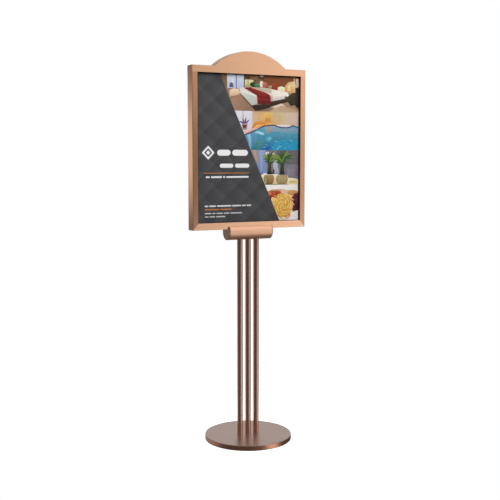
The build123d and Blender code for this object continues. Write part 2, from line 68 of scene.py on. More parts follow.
# ---- shader helpers -----------------------------------------------------------
class Nodes:
    """A short way to build one node tree."""

    def __init__(self, tree):
        self.tree = tree
        tree.nodes.clear()

    def add(self, kind, inputs=None, **settings):
        """A node, with its settings, and its inputs given as values or as other nodes' sockets."""
        node = self.tree.nodes.new(kind)
        for name, value in settings.items():
            setattr(node, name, value)
        for key, value in (inputs or {}).items():
            if isinstance(value, bpy.types.NodeSocket):
                self.tree.links.new(value, node.inputs[key])
            else:
                node.inputs[key].default_value = value
        return node

    def math(self, operation, a, b=0.0):
        """A math node's result."""
        return self.add("ShaderNodeMath", {0: a, 1: b}, operation=operation).outputs[0]

    def vector(self, operation, a, b=None):
        """A vector math node's outputs."""
        inputs = {0: a} if b is None else {0: a, 1: b}
        return self.add("ShaderNodeVectorMath", inputs, operation=operation).outputs

    def remap(self, value, low, high, to_low=0.0, to_high=1.0, smooth=True):
        """value from low..high to to_low..to_high, clamped."""
        inputs = {"Value": value, "From Min": low, "From Max": high, "To Min": to_low, "To Max": to_high}
        kind = "SMOOTHSTEP" if smooth else "LINEAR"
        return self.add("ShaderNodeMapRange", inputs, interpolation_type=kind).outputs["Result"]

    def mix(self, factor, a, b, blend="MIX"):
        """Two colours mixed."""
        node = self.add("ShaderNodeMix", {"Factor": factor}, data_type="RGBA", blend_type=blend)
        for socket, value in zip((node.inputs[6], node.inputs[7]), (a, b)):
            if isinstance(value, bpy.types.NodeSocket):
                self.tree.links.new(value, socket)
            else:
                socket.default_value = value
        return node.outputs[2]

    def grey(self, value):
        """A colour whose three channels are one value."""
        return self.add("ShaderNodeCombineColor", {0: value, 1: value, 2: value}).outputs[0]

    def split(self, vector):
        """A vector's X, Y and Z."""
        return self.add("ShaderNodeSeparateXYZ", {0: vector}).outputs

    def place(self, scale=(1, 1, 1)):
        """Object coordinates, scaled."""
        coordinates = self.add("ShaderNodeTexCoord").outputs["Object"]
        return self.add("ShaderNodeMapping", {"Vector": coordinates, "Scale": scale}).outputs["Vector"]

    def noise(self, vector, scale=1.0, detail=3.0, rough=0.5):
        """A noise texture's value."""
        inputs = {"Vector": vector, "Scale": scale, "Detail": detail, "Roughness": rough}
        return self.add("ShaderNodeTexNoise", inputs).outputs["Fac"]

    def bump(self, height, strength, distance):
        """A bump normal."""
        inputs = {"Height": height, "Strength": strength, "Distance": distance}
        return self.add("ShaderNodeBump", inputs).outputs["Normal"]

    def finish(self, **inputs):
        """The Principled shader and the material's output."""
        named = {key.replace("_", " "): value for key, value in inputs.items()}
        shader = self.add("ShaderNodeBsdfPrincipled", named)
        self.add("ShaderNodeOutputMaterial", {"Surface": shader.outputs[0]})
        return shader


def new_material(name):
    """A material and its empty node tree."""
    material = bpy.data.materials.new(name)
    material.use_nodes = True
    return material, Nodes(material.node_tree)


# ---- materials ----------------------------------------------------------------
NOISE = (0.3, 0.7)          # the range that a noise texture mostly keeps to
# BRONZE is the uprights' darker copy of BRONZE_FLAT: painted shade
BRONZE = srgb(214, 161, 126)
BRONZE_FLAT = srgb(238, 186, 148)
STREAKS_PER_M = 2600.0
STREAK_STRETCH = 14.0
STREAK_BUMP = (0.04, 0.1 * MM)
CLOUDS_PER_M = 9.0


def streaks_along(n, grain):
    """Fine streaks along X, along Z, or in rings round Z."""
    fine = STREAKS_PER_M
    if grain == "spun":
        at = n.add("ShaderNodeTexCoord").outputs["Object"]
        flat = n.vector("MULTIPLY", at, (1, 1, 0))[0]
        radius = n.vector("LENGTH", flat)["Value"]
        rings = n.add("ShaderNodeCombineXYZ", {"X": radius, "Y": n.split(at)["Z"]}).outputs[0]
        return n.noise(rings, fine, 4.0, 0.6)
    scales = {"x": (STREAK_STRETCH, fine, fine), "z": (fine, fine, STREAK_STRETCH)}
    return n.noise(n.place(scales[grain]), 1.0, 4.0, 0.6)


def brushed(name, colour, grain, roughness=0.28, anisotropic=0.6, depth=0.08, painted_top_light_colour=None):
    """Brushed, coated steel with its grain along X, along Z, or spun round Z; its upward faces may be painted
    a paler colour, a painted highlight for the light they reflect from above.
    """
    material, n = new_material(name)
    streaks = streaks_along(n, grain)
    clouds = n.noise(n.place((CLOUDS_PER_M,) * 3), 1.0, 3.0, 0.5)
    shade = n.mix(n.remap(streaks, *NOISE), shaded(colour, 1 - depth), shaded(colour, 1 + depth * 0.6))
    shade = n.mix(n.remap(clouds, 0.35, 0.7, 0.0, 0.35), shade, colour)
    # upward faces blend into the paler colour: painted light on the top
    if painted_top_light_colour:
        normal = n.add("ShaderNodeNewGeometry").outputs["Normal"]
        shade = n.mix(n.remap(n.split(normal)["Z"], 0.3, 0.9), shade, painted_top_light_colour)
    rough = n.remap(streaks, *NOISE, roughness - 0.05, roughness + 0.07)
    axis = "X" if grain == "x" else "Z"
    tangent = n.add("ShaderNodeTangent", direction_type="RADIAL", axis=axis).outputs[0]
    n.finish(Base_Color=shade, Metallic=1.0, Roughness=rough, Anisotropic=anisotropic, Tangent=tangent,
             Normal=n.bump(streaks, *STREAK_BUMP))
    return material


def plain(name, colour, roughness, metallic=0.0, scale=60.0, spread=0.12, bump=0.1):
    """A moulded, cast or plated surface with a soft mottle."""
    material, n = new_material(name)
    mottle = n.noise(n.place(), scale, 4.0, 0.6)
    shade = n.mix(n.remap(mottle, *NOISE), shaded(colour, 1 - spread), shaded(colour, 1 + spread))
    rough = n.remap(mottle, *NOISE, roughness - 0.05, roughness + 0.05)
    normal = n.bump(n.noise(n.place(), scale * 12, 3.0), bump, 0.4 * MM)
    n.finish(Base_Color=shade, Metallic=metallic, Roughness=rough, Normal=normal)
    return material


def acrylic():
    """Clear cover sheet: nearly invisible, with a thin gloss. Its dark base leaves no haze on the print."""
    material, n = new_material("clear_acrylic")
    haze = n.noise(n.place(), 6.0, 2.0)
    rough = n.remap(haze, *NOISE, 0.03, 0.07)
    n.finish(Base_Color=(0.1, 0.1, 0.1, 1), Roughness=rough, Alpha=0.06)
    return material


# ---- poster artwork -----------------------------------------------------------
# Poster coordinates: millimetres from the lower left corner of the frame's opening.
BEAD_BOX = {side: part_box(f"glazing_bead_{side}") for side in ("left", "right", "bottom", "top")}
OPEN_X = BEAD_BOX["left"][0][0]
OPEN_Z = BEAD_BOX["bottom"][0][2]
OPEN_W = (BEAD_BOX["right"][1][0] - OPEN_X) / MM
OPEN_H = (BEAD_BOX["top"][1][2] - OPEN_Z) / MM
SHEET_LOW, SHEET_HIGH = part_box("poster_sheet")
EDGE_TOP_X = 100.0          # the dark panel's slanting side, at the opening's top and bottom
EDGE_BOTTOM_X = 365.0
BAND_Z = (0.0, 142.0, 283.0, 435.0, OPEN_H)     # the four pictures' feet, and the top
TILE_W = 95.8               # the quilting's diamonds, and where one of them starts
TILE_H = 83.3
TILE_X = 29.5
TILE_Z = 518.0
QUILT_SHADES = (0.66, 1.28)
GRID_STEP = 5.0
MERGE_BELOW = 0.02
ART = "art"
AIR_GAP = 0.05 * MM         # keeps the print's face off the clear cover's back
DARK = (68, 68, 70)
WHITE = (246, 246, 246)
ORANGE = (206, 128, 60)


class Shape:
    """One area of flat or graded colour on the poster."""

    def __init__(self, points, colour, second=None, toward=(0, 1), mottle=0.0, grain=12.0):
        self.colour = srgb(*colour)
        self.second = srgb(*(second or colour))
        self.toward = toward
        self.mottle = mottle
        self.grain = grain
        reach = [x * toward[0] + z * toward[1] for x, z in points]
        self.low = min(reach)
        self.high = max(reach)
        self.keep(points)

    def keep(self, points):
        """Take an outline and note its limits."""
        self.points = points
        self.left = min((x for x, _ in points), default=0)
        self.right = max((x for x, _ in points), default=0)
        self.foot = min((z for _, z in points), default=0)
        self.top = max((z for _, z in points), default=0)

    def holds(self, x, z):
        """Whether the outline goes round the point."""
        if not (self.left <= x <= self.right and self.foot <= z <= self.top):
            return False
        inside = False
        count = len(self.points)
        for i in range(count):
            x0, z0 = self.points[i]
            x1, z1 = self.points[(i + 1) % count]
            if (z0 > z) != (z1 > z) and x < (x1 - x0) * (z - z0) / (z1 - z0) + x0:
                inside = not inside
        return inside

    def paint(self, x, z):
        """The colour at a point."""
        along = (x * self.toward[0] + z * self.toward[1] - self.low) / max(self.high - self.low, 1e-6)
        along = min(1, max(0, along))
        tone = 1 + self.mottle * noise.noise(Vector((x / self.grain, z / self.grain, self.low)))
        mixed = [(a * (1 - along) + b * along) * tone for a, b in zip(self.colour[:3], self.second[:3])]
        return [max(0.0, c) for c in mixed] + [1.0]


def rect(x0, z0, x1, z1):
    """A rectangle's outline."""
    return [(x0, z0), (x1, z0), (x1, z1), (x0, z1)]


def ellipse(x, z, rx, rz, turn=0.0, count=18):
    """An ellipse's outline."""
    points = []
    for i in range(count):
        a = 2 * math.pi * i / count
        u = rx * math.cos(a)
        v = rz * math.sin(a)
        along_x = u * math.cos(turn) - v * math.sin(turn)
        along_z = u * math.sin(turn) + v * math.cos(turn)
        points.append((x + along_x, z + along_z))
    return points


def pill(x0, x1, z, height):
    """A bar with round ends, in place of a word."""
    r = height / 2
    ends = [(x1 - r, -90), (x0 + r, 90)]
    points = []
    for x, start in ends:
        for step in range(7):
            a = math.radians(start + 30 * step)
            points.append((x + r * math.cos(a), z + r * math.sin(a)))
    return points


def blade(x, z, length, width, angle):
    """A pointed leaf from its foot, leaning by an angle from upright."""
    points = []
    for t, side in [(0, 0), (0.3, 1), (0.65, 0.8), (1, 0), (0.65, -0.8), (0.3, -1)]:
        bend = angle * (0.5 + 0.5 * t)
        along_x = math.sin(math.radians(bend))
        along_z = math.cos(math.radians(bend))
        off = side * width / 2
        points.append((x + t * length * along_x + off * along_z, z + t * length * along_z - off * along_x))
    return points


def diamond(x, z, reach):
    """A square on its corner."""
    return [(x - reach, z), (x, z - reach), (x + reach, z), (x, z + reach)]


def pot_outline(x, z, width, height):
    """A round-bellied pot."""
    half = width / 2
    profile = [(0.55, 0), (0.82, 0.18), (1, 0.5), (0.96, 0.8), (0.8, 1)]
    right = [(x + half * u, z + height * v) for u, v in profile]
    left = [(x - half * u, z + height * v) for u, v in reversed(profile)]
    return right + left


def strand(x, z, length, width, angle, bend):
    """A curved noodle: a thin band along an arc."""
    upper = []
    lower = []
    heading = angle
    for _ in range(6):
        off_x = -math.sin(heading) * width / 2
        off_z = math.cos(heading) * width / 2
        upper.append((x + off_x, z + off_z))
        lower.append((x - off_x, z - off_z))
        x += math.cos(heading) * length / 5
        z += math.sin(heading) * length / 5
        heading += bend / 5
    return upper + lower[::-1]


def raised(low):
    """A maker of shapes whose heights count from the foot of a picture band."""
    def make(points, *look, **more):
        return Shape([(x, z + low) for x, z in points], *look, **more)
    return make


def bedroom():
    """A hotel bedroom: window, wood wall, lamps, cushions, and a bed with a red runner."""
    s = raised(BAND_Z[3])
    right = OPEN_W
    shapes = [
        # walls and headboard, then their slats
        s(rect(90, 0, right, 146), (142, 100, 60), (120, 78, 44), (1, 0), 0.3, 9),
        s(rect(264, 84, right, 146), (112, 60, 28), (152, 88, 44), (0, 1), 0.3, 16),
        s(rect(288, 84, 404, 112), (104, 44, 20), (138, 72, 38), (0, 1), 0.35, 12),
    ]
    for step in range(5):
        z = 114 + step * 6.5
        shapes.append(s(rect(286, z, 420, z + 1.8), (96, 50, 22), (128, 74, 36), (1, 0)))
    shapes += [
        # floor
        s(rect(90, 0, right, 90), (150, 118, 92), (168, 134, 104), (1, 0), 0.2, 10),
        # window, with a dark seat in front of it
        s(rect(90, 86, 132, 146), (84, 60, 40), (132, 100, 66), (1, 0), 0.4, 8),
        s(rect(132, 86, 205, 146), (186, 196, 226), (226, 234, 252), (0, 1), 0.1, 9),
        s(rect(169, 86, 173, 146), (94, 100, 132)),
        s(rect(152, 100, 160, 140), (230, 232, 214), (214, 222, 244), (0, 1)),
        s(rect(204, 84, 208, 146), (70, 44, 32)),
        s(rect(132, 141, 205, 146), (122, 100, 88)),
        s([(142, 90), (142, 104), (150, 109), (158, 104), (159, 90)],
          (64, 66, 84), (108, 112, 136), (0, 1)),
        # lit niche, hanging lamp and two round plants
        s(rect(208, 124, 264, 146), (116, 76, 40), (148, 106, 62), (1, 0), 0.3, 7),
        s(ellipse(224, 129, 8, 4), (48, 28, 14)),
        s(rect(208, 94, 246, 121), (196, 182, 122), (236, 228, 178), (0, 1), 0.3, 8),
        s(rect(221, 96, 225, 118), (158, 138, 82)),
        s(rect(246, 100, 280, 124), (96, 70, 44), (134, 106, 74), (1, 0), 0.4, 6),
        s(ellipse(284, 138, 9, 7), (240, 214, 196), (250, 236, 222)),
        s([(268, 124), (272, 133), (292, 133), (295, 124)], (62, 42, 26), (92, 62, 38)),
        s(ellipse(246, 103, 16, 9), (18, 38, 16), (38, 62, 26), mottle=0.5, grain=4),
        s(ellipse(262, 101, 11, 7), (38, 106, 64), (82, 152, 104), mottle=0.4, grain=4),
        # cushions
        s([(276, 94), (274, 108), (280, 119), (289, 116), (290, 94)],
          (232, 222, 196), (252, 246, 226), (0, 1)),
        s([(288, 92), (286, 108), (292, 115), (306, 112), (311, 94)],
          (168, 62, 44), (224, 124, 104), (0, 1), 0.15),
        s([(311, 90), (311, 101), (328, 103), (329, 88)], (150, 128, 98), (184, 162, 128), (0, 1)),
        s([(327, 84), (331, 112), (342, 117), (354, 108), (352, 82)],
          (126, 44, 16), (176, 80, 40), (0, 1), 0.2),
        s([(355, 80), (356, 96), (372, 101), (390, 96), (390, 78)],
          (232, 214, 168), (255, 250, 222), (0, 1)),
        s([(386, 74), (390, 104), (404, 118), (434, 122), (440, 92), (434, 74)],
          (204, 136, 82), (246, 222, 158), (0.6, 1), 0.25, 9),
        s([(398, 82), (402, 106), (412, 110), (416, 84)], (240, 206, 140), (252, 228, 172), (0, 1)),
        # lamp and dark bedside
        s(rect(429, 104, 434, 138), (246, 238, 208), (224, 190, 130), (0, 1)),
        s(rect(438, 96, right, 134), (214, 176, 160), (240, 214, 204), (0, 1), 0.2),
        s([(434, 28), (436, 96), (right, 100), (right, 14), (440, 20)],
          (34, 22, 18), (62, 44, 30), (0, 1), 0.4, 7),
        # rugs and the bed's dark foot
        s([(120, 0), (140, 56), (188, 66), (240, 10), (250, 0)],
          (178, 142, 116), (140, 104, 80), (1, 0), 0.2, 9),
        s([(186, 70), (189, 64), (238, 16), (256, 0), (296, 8), (388, 36), (428, 48), (430, 56),
           (396, 56), (330, 40), (286, 26), (240, 24)],
          (40, 22, 10), (66, 42, 24), (0.2, 1), 0.35, 7),
        s([(300, 0), (330, 14), (372, 28), (400, 18), (444, 8), (right, 6), (right, 0)],
          (206, 174, 142), (190, 160, 128), (1, 0), 0.15, 7),
        s([(300, 6), (330, 20), (372, 33), (392, 24), (372, 24), (330, 12)],
          (228, 202, 172), (236, 214, 188)),
        s([(256, 0), (300, 10), (332, 18), (340, 12), (318, 0)], (112, 88, 66), (158, 128, 100), (1, 0)),
        # stool
        s([(142, 48), (142, 78), (158, 85), (180, 84), (187, 72), (184, 60), (164, 50)],
          (208, 164, 126), (246, 222, 190), (0, 1), 0.12, 7),
        s([(142, 46), (146, 56), (166, 58), (184, 66), (182, 58), (162, 48)],
          (150, 108, 82), (184, 138, 108)),
        # bed linen
        s([(184, 88), (206, 92), (296, 92), (400, 78), (406, 66), (396, 54), (368, 48), (326, 40),
           (262, 28), (240, 22), (216, 44), (188, 68)],
          (228, 216, 202), (250, 244, 234), (1, 0), 0.04, 16),
        s([(240, 92), (300, 90), (328, 86), (326, 68), (302, 74)],
          (176, 160, 134), (208, 194, 168), (1, 0), 0.1, 8),
        s([(187, 70), (188, 84), (256, 62), (262, 28), (238, 22), (218, 42)],
          (186, 188, 178), (226, 226, 218), (-0.4, 1), 0.06, 9),
        s([(200, 80), (256, 61), (257, 56), (198, 74)], (240, 238, 230)),
        # red runner
        s([(202, 90), (234, 92), (300, 74), (320, 65), (324, 56), (262, 60)],
          (108, 18, 10), (146, 36, 22), (1, 0), 0.25, 6),
        s([(230, 86), (250, 88), (310, 67), (322, 61), (318, 59)], (164, 40, 24), (132, 26, 16), (1, 0)),
        s([(260, 60), (324, 58), (325, 32), (290, 26), (263, 27)],
          (126, 14, 12), (92, 12, 8), (0.3, -1), 0.2, 6),
        s([(264, 50), (322, 48), (322, 45), (264, 46)], (162, 34, 28)),
        s([(260, 60), (264, 60), (267, 27), (262, 27)], (196, 92, 84)),
        s([(326, 66), (332, 62), (333, 42), (326, 40)], (206, 150, 140)),
        # right end of the bed, and a dark shape in front of it
        s([(334, 56), (392, 66), (400, 62), (388, 52), (334, 42)],
          (206, 204, 194), (232, 226, 216), (0, 1)),
        s([(334, 78), (380, 80), (400, 74), (390, 70), (340, 70)], (252, 240, 224)),
        s([(392, 48), (400, 58), (420, 76), (436, 78), (440, 30), (416, 24)],
          (30, 26, 12), (66, 58, 30), (0, 1), 0.5, 6),
        s(ellipse(394, 57, 8, 5), (74, 56, 40), (104, 82, 60)),
    ]
    return shapes


def pool():
    """An indoor pool: warm wall, deck with a dark wavy edge, blue water."""
    s = raised(BAND_Z[2])
    right = OPEN_W
    edge = [(190, 50), (210, 58), (236, 66), (259, 77), (277, 85), (296, 93), (318, 95), (340, 97), (355, 91),
            (372, 88), (388, 87), (406, 88), (416, 92), (424, 96), (right, 90)]
    rim = [(x, z + 4.2) for x, z in reversed(edge)]
    shapes = [
        # wall in upright panels
        s(rect(140, 0, right, 153), (214, 190, 160), (222, 194, 176), (1, 0), 0.1, 16),
        s(rect(140, 80, 238, 153), (216, 214, 220), (232, 230, 240), (0, 1), 0.1, 9),
        s(rect(160, 84, 168, 153), (190, 188, 196), (206, 202, 206), (0, 1)),
        s(rect(196, 84, 206, 153), (198, 184, 178), (216, 206, 204), (0, 1)),
        s(rect(232, 88, 240, 153), (226, 212, 232), (232, 224, 240), (0, 1)),
        s(rect(244, 104, 262, 150), (214, 188, 146), (208, 180, 150), (0, 1), 0.1),
        s(rect(262, 106, 292, 152), (232, 178, 116), (224, 176, 122), (0, 1), 0.12),
        s(rect(292, 106, 332, 152), (232, 160, 84), (232, 200, 110), (0, 1), 0.12),
        s(rect(332, 104, 368, 150), (216, 180, 134), (208, 190, 150), (0, 1), 0.1),
        s(rect(368, 104, 392, 150), (214, 190, 146), (212, 196, 148), (0, 1), 0.1),
        s(rect(240, 148, right, 153), (196, 158, 120), (214, 186, 160), (1, 0)),
    ]
    for x, z in ((301, 104), (306, 108), (314, 104), (319, 108)):
        shapes.append(s(rect(x, z, x + 2.4, z + 22), (134, 84, 40), (188, 124, 66), (0, 1)))
    shapes += [
        # benches and deck
        s([(238, 84), (250, 108), (288, 113), (330, 112), (352, 104), (346, 98), (300, 96), (262, 86)],
          (214, 128, 48), (242, 172, 84), (1, 0), 0.2, 7),
        s([(296, 98), (320, 108), (356, 107), (392, 104), (right, 104), (right, 96), (340, 98)],
          (236, 176, 76), (226, 186, 170), (1, 0), 0.12, 9),
        s([(244, 84), (262, 98), (292, 100), (262, 90)], (250, 200, 138)),
        s([(180, 46), (196, 84), (248, 84), (276, 88), (236, 68), (204, 56)],
          (228, 196, 204), (236, 208, 196), (1, 0), 0.08, 9),
        s([(206, 62), (240, 78), (262, 82), (240, 70)], (198, 150, 142)),
        # pot with purple leaves
        s([(200, 84), (197, 98), (219, 98), (216, 84)], (96, 26, 40), (140, 62, 70), (1, 0)),
        s(rect(196, 97, 220, 100), (168, 96, 104)),
        s(blade(204, 100, 26, 7, -66), (58, 38, 98), (96, 60, 130)),
        s(blade(207, 100, 28, 7, -24), (78, 44, 112), (132, 84, 156)),
        s(blade(210, 100, 30, 7, 8), (54, 40, 100), (104, 72, 144)),
        s(blade(213, 100, 26, 7, 44), (92, 46, 110), (150, 92, 160)),
        s(ellipse(206, 82, 14, 3), (150, 120, 118), (180, 150, 146)),
        s([(350, 92), (356, 100), (380, 102), (410, 101), (420, 96), (406, 90), (388, 89), (368, 90)],
          (220, 206, 212), (240, 226, 220), (0, 1)),
        s([(424, 98), (right, 100), (right, 94), (430, 96)], (230, 210, 216)),
        # water, and its lighter and darker areas
        s(edge + [(right, 0), (150, 0), (160, 40)], (14, 112, 156), (96, 170, 190), (0, 1), 0.16, 16),
        s([(296, 92), (340, 95), (372, 86), (right, 88), (right, 64), (380, 70), (320, 74)],
          (96, 160, 178), (158, 170, 188), (0, 1), 0.12, 9),
        s([(298, 91), (330, 94), (334, 74), (312, 62), (296, 70)],
          (120, 150, 158), (178, 164, 168), (0, 1), 0.15, 8),
        s([(186, 48), (236, 64), (262, 76), (262, 40), (246, 0), (196, 0)],
          (50, 118, 150), (104, 164, 196), (0, 1), 0.18, 8),
        s([(218, 60), (232, 64), (238, 30), (236, 4), (226, 4), (226, 34)],
          (112, 170, 202), (158, 206, 238), (0, 1)),
        s([(244, 0), (250, 34), (290, 40), (300, 0)], (30, 116, 132), (84, 148, 150), (0, 1), 0.25, 8),
        s([(330, 0), (340, 34), (right, 40), (right, 0)],
          (30, 150, 196), (42, 156, 186), (0, 1), 0.18, 9),
        s([(286, 0), (292, 16), (324, 20), (330, 0)], (18, 88, 166), (26, 112, 170), (0, 1), 0.2, 6),
        # glints, and the dark rim
        s(ellipse(280, 66, 16, 5, -0.25), (150, 208, 232), (186, 226, 242)),
        s(ellipse(262, 70, 8, 3, 0.4), (186, 222, 240)),
        s(ellipse(315, 45, 13, 8, 0.3), (84, 170, 200), (118, 194, 214), (1, 0), 0.1),
        s(rim + edge, (18, 26, 74), (34, 46, 100), (1, 0)),
    ]
    # ripples
    for step in range(26):
        x = 292 + (step * 47) % 128
        z = 4 + (step * 17) % 36
        tone = ((16, 84, 142), (68, 190, 220), (22, 108, 160), (128, 210, 226))[step % 4]
        shapes.append(s(ellipse(x, z, 5 + step % 4, 1.5, 0.5 - 0.25 * (step % 5), 8), tone))
    return shapes


def plants():
    """Two potted palms on a shelf before a grey-blue wall."""
    s = raised(BAND_Z[1])
    right = OPEN_W
    shapes = [
        # grey wall
        s(rect(190, 0, right, 142), (112, 112, 120), (128, 122, 134), (1, 0), 0.18, 12),
        s(rect(352, 84, right, 142), (98, 100, 102), (108, 104, 104), (1, 0), 0.15, 10),
        s(rect(400, 36, right, 66), (142, 134, 152), (120, 112, 124), (1, 0), 0.25, 8),
        # hangings on the left
        s([(226, 142), (240, 142), (268, 60), (258, 66)], (176, 176, 176), (150, 150, 160)),
        s([(240, 142), (254, 142), (268, 100), (262, 88)], (206, 148, 112), (196, 160, 132)),
        s([(254, 142), (274, 142), (276, 50), (262, 82), (266, 104)],
          (150, 156, 168), (120, 140, 176), (0, -1), 0.15, 9),
        s([(274, 142), (302, 142), (308, 44), (272, 50), (262, 76)],
          (116, 138, 186), (150, 166, 204), (0, 1), 0.2, 8),
        s(rect(280, 60, 286, 138), (158, 176, 214)),
        # pale vase and shelf
        s([(340, 50), (334, 84), (340, 96), (356, 88), (362, 48)],
          (176, 170, 192), (198, 196, 208), (0, 1), 0.2, 7),
        s([(272, 36), (296, 50), (318, 44), (350, 46), (372, 40), (404, 38), (404, 26), (276, 22)],
          (232, 222, 206), (250, 244, 232), (0, 1), 0.1, 6),
        s([(280, 0), (274, 34), (404, 34), (410, 0)], (214, 194, 150), (238, 222, 190), (0, 1), 0.1, 8),
        s([(402, 2), (402, 30), (426, 29), (right, 24), (right, 2)],
          (236, 214, 156), (244, 236, 200), (0, 1), 0.1, 8),
        s([(404, 14), (430, 20), (444, 14), (420, 8)], (206, 178, 108), (222, 196, 130)),
        # pale spots behind the leaves
        s(ellipse(308, 128, 8, 6, 0.4), (240, 226, 206), (250, 244, 230)),
        s(ellipse(336, 126, 9, 4, -0.2), (206, 190, 146), (224, 206, 166)),
        s(ellipse(346, 94, 10, 4, 0.5), (206, 214, 190), (226, 230, 214)),
    ]
    # dark hearts of the palms, then their leaves
    for x, foot in ((319, 9), (376, 11)):
        shapes.append(s([(x - foot, 44), (x - foot * 0.6, 80), (x - foot * 1.5, 104), (x + foot * 1.6, 108),
                         (x + foot * 0.8, 78), (x + foot, 44)], (14, 18, 8), (62, 74, 34), (0, 1), 0.5, 4))
    fans = ((319, 100, 40, (-88, -66, -44, -20, 2, 24, 46, 68, 88), 0),
            (319, 88, 32, (-78, -50, -16, 20, 54, 80), 1),
            (380, 98, 52, (-86, -62, -38, -14, 10, 30, 48, 66, 84), 2),
            (376, 84, 38, (-80, -54, -22, 16, 50, 78), 3))
    tones = (((30, 40, 18), (84, 98, 40)), ((18, 40, 20), (50, 98, 50)), ((52, 108, 32), (120, 170, 50)),
             ((20, 60, 34), (60, 114, 64)), ((96, 96, 36), (150, 144, 64)))
    for x, z, length, angles, turn in fans:
        for step, angle in enumerate(angles):
            tone, tip = tones[(step * 2 + turn) % 5]
            reach = length * (0.82 + 0.09 * ((step * 7 + turn) % 4))
            shapes.append(s(blade(x, z, reach, length * 0.2, angle), tone, tip, (0, 1)))
    shapes += [
        # trunks
        s([(308, 44), (312, 66), (318, 92), (322, 92), (326, 66), (331, 44)],
          (16, 20, 10), (72, 70, 34), (0, 1), 0.3, 4),
        s([(364, 44), (371, 66), (375, 90), (381, 90), (383, 66), (390, 44)],
          (12, 30, 14), (40, 78, 44), (0, 1), 0.3, 4),
        s([(330, 46), (336, 66), (342, 62), (340, 46)], (40, 34, 32), (74, 60, 64)),
        # pots
        s(pot_outline(316, 4, 48, 38), (98, 84, 40), (168, 148, 88), (0, 1), 0.2, 7),
        s([(318, 8), (316, 34), (334, 34), (338, 20), (334, 8)],
          (150, 92, 54), (176, 132, 84), (0, 1), 0.2, 6),
        s([(298, 10), (296, 30), (304, 34), (305, 8)], (188, 168, 104), (168, 152, 90)),
        s(pot_outline(376, 3, 54, 38), (120, 98, 54), (184, 158, 104), (0, 1), 0.2, 7),
    ]
    # the right pot's ribs
    for x in (358, 365, 372, 379, 386, 393):
        shapes.append(s([(x, 6), (x - 1, 34), (x + 2, 36), (x + 2.4, 6)], (198, 174, 122), (206, 184, 136)))
    shapes += [
        # the pots' shadow and the white line between two pictures
        s(rect(280, 2.5, 404, 5.5), (70, 54, 38), (104, 82, 58), (0, 1)),
        s(rect(250, 0, right, 3), (250, 246, 238)),
    ]
    return shapes


def dishes():
    """Noodles and a red side dish on a white cloth."""
    right = OPEN_W
    shapes = [
        # cloth and plates
        Shape(rect(270, 0, right, 142), (254, 246, 236), (250, 244, 238), (1, 0), 0.02),
        Shape([(300, 116), (330, 126), (372, 128), (404, 122), (right, 118), (right, 70), (318, 70)],
              (214, 176, 140), (232, 200, 168), (1, 0), 0.12, 7),
        Shape([(400, 112), (410, 122), (432, 123), (right, 116), (right, 106), (418, 100)],
              (196, 132, 74), (222, 164, 104), (0, 1), 0.25, 6),
        # red side dish
        Shape([(300, 92), (306, 114), (326, 122), (360, 122), (384, 114), (404, 100), (410, 92),
               (330, 84)],
              (120, 44, 18), (182, 98, 52), (0, 1), 0.5, 5),
        Shape(ellipse(334, 106, 13, 7, 0.3), (176, 62, 34), (208, 84, 52), mottle=0.4, grain=4),
        Shape(ellipse(356, 110, 11, 5, -0.2), (150, 30, 30), (186, 56, 44)),
        Shape(ellipse(318, 110, 9, 6, 0.1), (204, 110, 84), (224, 150, 120)),
        Shape(ellipse(322, 96, 10, 4, 0.2), (98, 40, 12)),
        Shape(ellipse(346, 98, 8, 4, -0.3), (222, 126, 60)),
        # plate's edge and the dark food on the right
        Shape([(368, 122), (384, 118), (410, 102), (424, 92), (420, 88), (396, 102), (376, 112)],
              (232, 190, 156), (242, 208, 178), (1, 0)),
        Shape([(422, 98), (436, 108), (right, 110), (right, 34), (430, 30), (418, 44), (420, 70)],
              (60, 10, 22), (108, 34, 46), (-0.3, 1), 0.45, 6),
        Shape(ellipse(440, 86, 9, 8), (122, 36, 58), (92, 18, 40), mottle=0.3, grain=4),
        Shape(ellipse(436, 52, 9, 10), (94, 22, 24), (70, 12, 22)),
        # plate's lower edge
        Shape([(348, 0), (362, 14), (404, 18), (420, 32), (right, 40), (right, 0)],
              (250, 230, 226), (255, 246, 244), (1, 0)),
        Shape([(352, 0), (356, 10), (396, 8), (414, 22), (420, 18), (402, 2)], (222, 196, 178)),
    ]
    # heap of noodles, then its strands from the middle outwards
    heap_x = 382
    heap = []
    for step in range(30):
        a = 2 * math.pi * step / 30
        reach = 1 + 0.07 * math.sin(step * 2.7) + 0.05 * math.sin(step * 5.1)
        heap.append((heap_x + 46 * reach * math.cos(a), 60 + 50 * reach * math.sin(a)))
    shapes.append(Shape(heap, (206, 132, 40), (238, 186, 84), (0, 1), 0.35, 6))
    shapes.append(Shape([(326, 88), (330, 96), (352, 90), (352, 78), (334, 76)],
                        (244, 196, 120), (252, 214, 140)))
    tones = (((236, 176, 70), (252, 222, 130)), ((214, 140, 40), (240, 190, 92)),
             ((250, 206, 96), (255, 232, 150)), ((200, 112, 28), (228, 150, 56)),
             ((224, 184, 88), (246, 214, 120)), ((196, 168, 60), (222, 196, 96)))
    golden_angle = 2.4
    for step in range(110):
        a = step * golden_angle
        reach = 4.1 * math.sqrt(step)
        x = heap_x + reach * math.cos(a)
        z = 62 + reach * 1.1 * math.sin(a)
        tone, tip = tones[(step * 5) % 6]
        outline = strand(x - 8 * math.cos(a + 1.3), z - 8 * math.sin(a + 1.3), 18 + step % 5, 2.6, a + 1.3,
                         0.9 - 0.45 * (step % 5))
        shapes.append(Shape(outline, tone, tip, (0.5, 1)))
    # pale strips at the heap's edge
    for x, z, turn in ((424, 88, -0.9), (430, 72, -1.2), (428, 58, -1.9), (418, 96, -0.4)):
        shapes.append(Shape(strand(x - 8, z + 6, 20, 4, turn, 0.6), (240, 196, 148), (252, 222, 186)))
    return shapes


